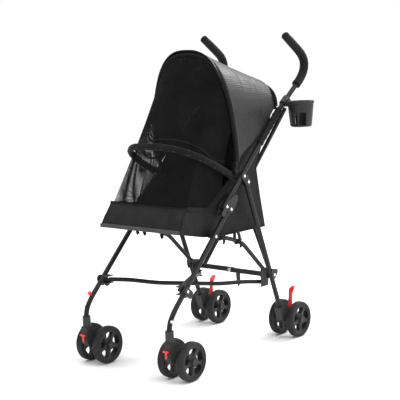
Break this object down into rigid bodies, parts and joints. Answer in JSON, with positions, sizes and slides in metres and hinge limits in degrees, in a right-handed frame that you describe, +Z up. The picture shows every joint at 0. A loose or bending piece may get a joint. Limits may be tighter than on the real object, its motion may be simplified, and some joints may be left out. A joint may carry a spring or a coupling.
{
  "type": "pet stroller",
  "caption": "Folding umbrella-frame pet stroller with fabric cabin, hooped canopy, bumper bar, cane grips, cup holder, paired casters and paired braked rear wheels.",
  "frame": {"origin": "centre of the bounding box at floor level, under the wheels", "axes": "+Z up, -Y is the way it travels, +X is the left hand of the person who pushes it"},
  "size_m": [0.506, 0.788, 1.0252],
  "materials": {
    "frame_tube": "satin",
    "plastic": "moulded matte",
    "grip": "foam",
    "wheel": "matte",
    "red_plastic": "semi-gloss",
    "fabric": "woven polyester",
    "mesh": "open net"
  },
  "bodies": {
    "left_side": {"left_handle_tube": "frame_tube", "left_grip": "grip", "left_front_leg": "frame_tube", "left_rear_leg": "frame_tube", "left_seat_tube": "frame_tube", "left_pivot_bracket": "plastic", "left_knee_bracket": "plastic", "left_corner_bracket": "plastic", "left_brace_clip": "plastic", "left_caster_collar": "plastic", "left_rear_housing": "plastic", "left_rear_axle": "plastic", "cabin": "fabric", "floor_board": "fabric", "rear_arch": "frame_tube", "canopy_rear_panel": "fabric", "screen_lower": "mesh", "cup_clamp": "plastic", "cup_holder": "plastic"},
    "left_caster": {"left_caster_fork": "plastic", "left_front_axle": "plastic"},
    "left_lock": {"left_caster_lock": "red_plastic"},
    "left_pedal": {"left_brake_pedal": "red_plastic"},
    "left_front_outer_wheel": {"left_front_wheel_outer": "wheel"},
    "left_front_inner_wheel": {"left_front_wheel_inner": "wheel"},
    "left_rear_outer_wheel": {"left_rear_wheel_outer": "wheel"},
    "left_rear_inner_wheel": {"left_rear_wheel_inner": "wheel"},
    "left_floor_brace": {"left_bottom_brace": "frame_tube"},
    "left_cross_brace": {"left_rear_brace": "frame_tube"},
    "left_strut_arm": {"left_strut": "frame_tube"},
    "right_side": {"right_handle_tube": "frame_tube", "right_grip": "grip", "right_front_leg": "frame_tube", "right_rear_leg": "frame_tube", "right_seat_tube": "frame_tube", "right_pivot_bracket": "plastic", "right_knee_bracket": "plastic", "right_corner_bracket": "plastic", "right_brace_clip": "plastic", "right_caster_collar": "plastic", "right_rear_housing": "plastic", "right_rear_axle": "plastic", "latch_stud": "red_plastic"},
    "right_caster": {"right_caster_fork": "plastic", "right_front_axle": "plastic"},
    "right_lock": {"right_caster_lock": "red_plastic"},
    "right_pedal": {"right_brake_pedal": "red_plastic"},
    "right_front_outer_wheel": {"right_front_wheel_outer": "wheel"},
    "right_front_inner_wheel": {"right_front_wheel_inner": "wheel"},
    "right_rear_outer_wheel": {"right_rear_wheel_outer": "wheel"},
    "right_rear_inner_wheel": {"right_rear_wheel_inner": "wheel"},
    "right_floor_brace": {"right_bottom_brace": "frame_tube"},
    "right_cross_brace": {"right_rear_brace": "frame_tube"},
    "right_strut_arm": {"right_strut": "frame_tube"},
    "hood_front": {"canopy_hoop": "frame_tube", "canopy_front_panel": "fabric", "screen_upper": "mesh"},
    "hood_middle": {"canopy_middle_panel": "fabric"},
    "bumper": {"bumper_bar": "fabric"},
    "release": {"strut_release": "plastic"}
  },
  "joints": [
    {"name": "fold", "type": "slide", "parent": "left_side", "child": "right_side", "axis": [1, 0, 0], "range_m": [0, 0.2], "deforming": ["cabin", "floor_board", "rear_arch", "canopy_rear_panel", "screen_lower", "canopy_hoop", "canopy_front_panel", "screen_upper", "canopy_middle_panel", "bumper_bar"]},
    {"name": "left_caster_swivel", "type": "hinge", "parent": "left_side", "child": "left_caster", "pos_m": [0.14395, -0.3703, 0.13], "axis": [0, 0, 1], "continuous": true},
    {"name": "left_lock_lever", "type": "hinge", "parent": "left_caster", "child": "left_lock", "pos_m": [0.14395, -0.3881, 0.08], "axis": [1, 0, 0], "range_deg": [0, 35]},
    {"name": "left_brake", "type": "hinge", "parent": "left_side", "child": "left_pedal", "pos_m": [0.14395, 0.2607, 0.092], "axis": [-1, 0, 0], "range_deg": [0, 25]},
    {"name": "left_front_outer_spin", "type": "hinge", "parent": "left_caster", "child": "left_front_outer_wheel", "pos_m": [0.17995, -0.3183, 0.06], "axis": [1, 0, 0], "continuous": true},
    {"name": "left_front_inner_spin", "type": "hinge", "parent": "left_caster", "child": "left_front_inner_wheel", "pos_m": [0.10795, -0.3183, 0.06], "axis": [1, 0, 0], "continuous": true},
    {"name": "left_rear_outer_spin", "type": "hinge", "parent": "left_side", "child": "left_rear_outer_wheel", "pos_m": [0.17995, 0.2577, 0.06], "axis": [1, 0, 0], "continuous": true},
    {"name": "left_rear_inner_spin", "type": "hinge", "parent": "left_side", "child": "left_rear_inner_wheel", "pos_m": [0.10795, 0.2577, 0.06], "axis": [1, 0, 0], "continuous": true},
    {"name": "left_floor_brace_swing", "type": "hinge", "parent": "left_side", "child": "left_floor_brace", "pos_m": [0.10995, 0.1597, 0.2], "axis": [0, 0.1424, 0.9898], "range_deg": [0, 23.68]},
    {"name": "left_cross_brace_swing", "type": "hinge", "parent": "left_side", "child": "left_cross_brace", "pos_m": [0.12195, 0.1837, 0.222], "axis": [0, 0.9862, -0.1658], "range_deg": [0, 19.6]},
    {"name": "left_strut_fold", "type": "hinge", "parent": "left_side", "child": "left_strut_arm", "pos_m": [0.10695, 0.1587, 0.228], "axis": [0, 1, 0], "range_deg": [0, 75.47]},
    {"name": "right_caster_swivel", "type": "hinge", "parent": "right_side", "child": "right_caster", "pos_m": [-0.20005, -0.3703, 0.13], "axis": [0, 0, 1], "continuous": true},
    {"name": "right_lock_lever", "type": "hinge", "parent": "right_caster", "child": "right_lock", "pos_m": [-0.20005, -0.3881, 0.08], "axis": [1, 0, 0], "range_deg": [0, 35]},
    {"name": "right_brake", "type": "hinge", "parent": "right_side", "child": "right_pedal", "pos_m": [-0.20005, 0.2607, 0.092], "axis": [-1, 0, 0], "range_deg": [0, 25]},
    {"name": "right_front_outer_spin", "type": "hinge", "parent": "right_caster", "child": "right_front_outer_wheel", "pos_m": [-0.23605, -0.3183, 0.06], "axis": [1, 0, 0], "continuous": true},
    {"name": "right_front_inner_spin", "type": "hinge", "parent": "right_caster", "child": "right_front_inner_wheel", "pos_m": [-0.16405, -0.3183, 0.06], "axis": [1, 0, 0], "continuous": true},
    {"name": "right_rear_outer_spin", "type": "hinge", "parent": "right_side", "child": "right_rear_outer_wheel", "pos_m": [-0.23605, 0.2577, 0.06], "axis": [1, 0, 0], "continuous": true},
    {"name": "right_rear_inner_spin", "type": "hinge", "parent": "right_side", "child": "right_rear_inner_wheel", "pos_m": [-0.16405, 0.2577, 0.06], "axis": [1, 0, 0], "continuous": true},
    {"name": "right_floor_brace_swing", "type": "hinge", "parent": "right_side", "child": "right_floor_brace", "pos_m": [-0.16605, 0.1597, 0.2], "axis": [0, -0.1424, -0.9898], "range_deg": [0, 23.68]},
    {"name": "right_cross_brace_swing", "type": "hinge", "parent": "right_side", "child": "right_cross_brace", "pos_m": [-0.17805, 0.19948, 0.21935], "axis": [0, -0.9862, 0.1658], "range_deg": [0, 19.6]},
    {"name": "right_strut_fold", "type": "hinge", "parent": "right_side", "child": "right_strut_arm", "pos_m": [-0.16305, 0.1587, 0.228], "axis": [0, -1, 0], "range_deg": [0, 75.47]},
    {"name": "strut_release_press", "type": "hinge", "parent": "left_strut_arm", "child": "release", "pos_m": [0.00595, 0.1547, 0.217], "axis": [-1, 0, 0], "range_deg": [0, 20]},
    {"name": "hood_swing", "type": "hinge", "parent": "left_side", "child": "hood_front", "pos_m": [-0.02805, -0.0053, 0.592], "axis": [-1, 0, 0], "range_deg": [0, 26], "deforming": ["canopy_front_panel", "screen_upper", "canopy_middle_panel", "canopy_rear_panel", "screen_lower"]},
    {"name": "hood_middle_swing", "type": "hinge", "parent": "left_side", "child": "hood_middle", "pos_m": [-0.02805, -0.0053, 0.592], "axis": [-1, 0, 0], "range_deg": [0, 13.2]},
    {"name": "bumper_swing", "type": "hinge", "parent": "left_side", "child": "bumper", "pos_m": [-0.02805, 0.0007, 0.566], "axis": [-1, 0, 0], "range_deg": [0, 30]}
  ],
  "couplings": [
    {"joint": "left_floor_brace_swing", "follows": "fold", "rad_per_m": 2.0231},
    {"joint": "left_cross_brace_swing", "follows": "fold", "rad_per_m": 1.6667},
    {"joint": "left_strut_fold", "follows": "fold", "rad_per_m": 6.5427},
    {"joint": "right_floor_brace_swing", "follows": "fold", "rad_per_m": 2.0231},
    {"joint": "right_cross_brace_swing", "follows": "fold", "rad_per_m": 1.6667},
    {"joint": "right_strut_fold", "follows": "fold", "rad_per_m": 6.5427},
    {"joint": "hood_middle_swing", "follows": "hood_swing", "ratio": 0.5}
  ]
}
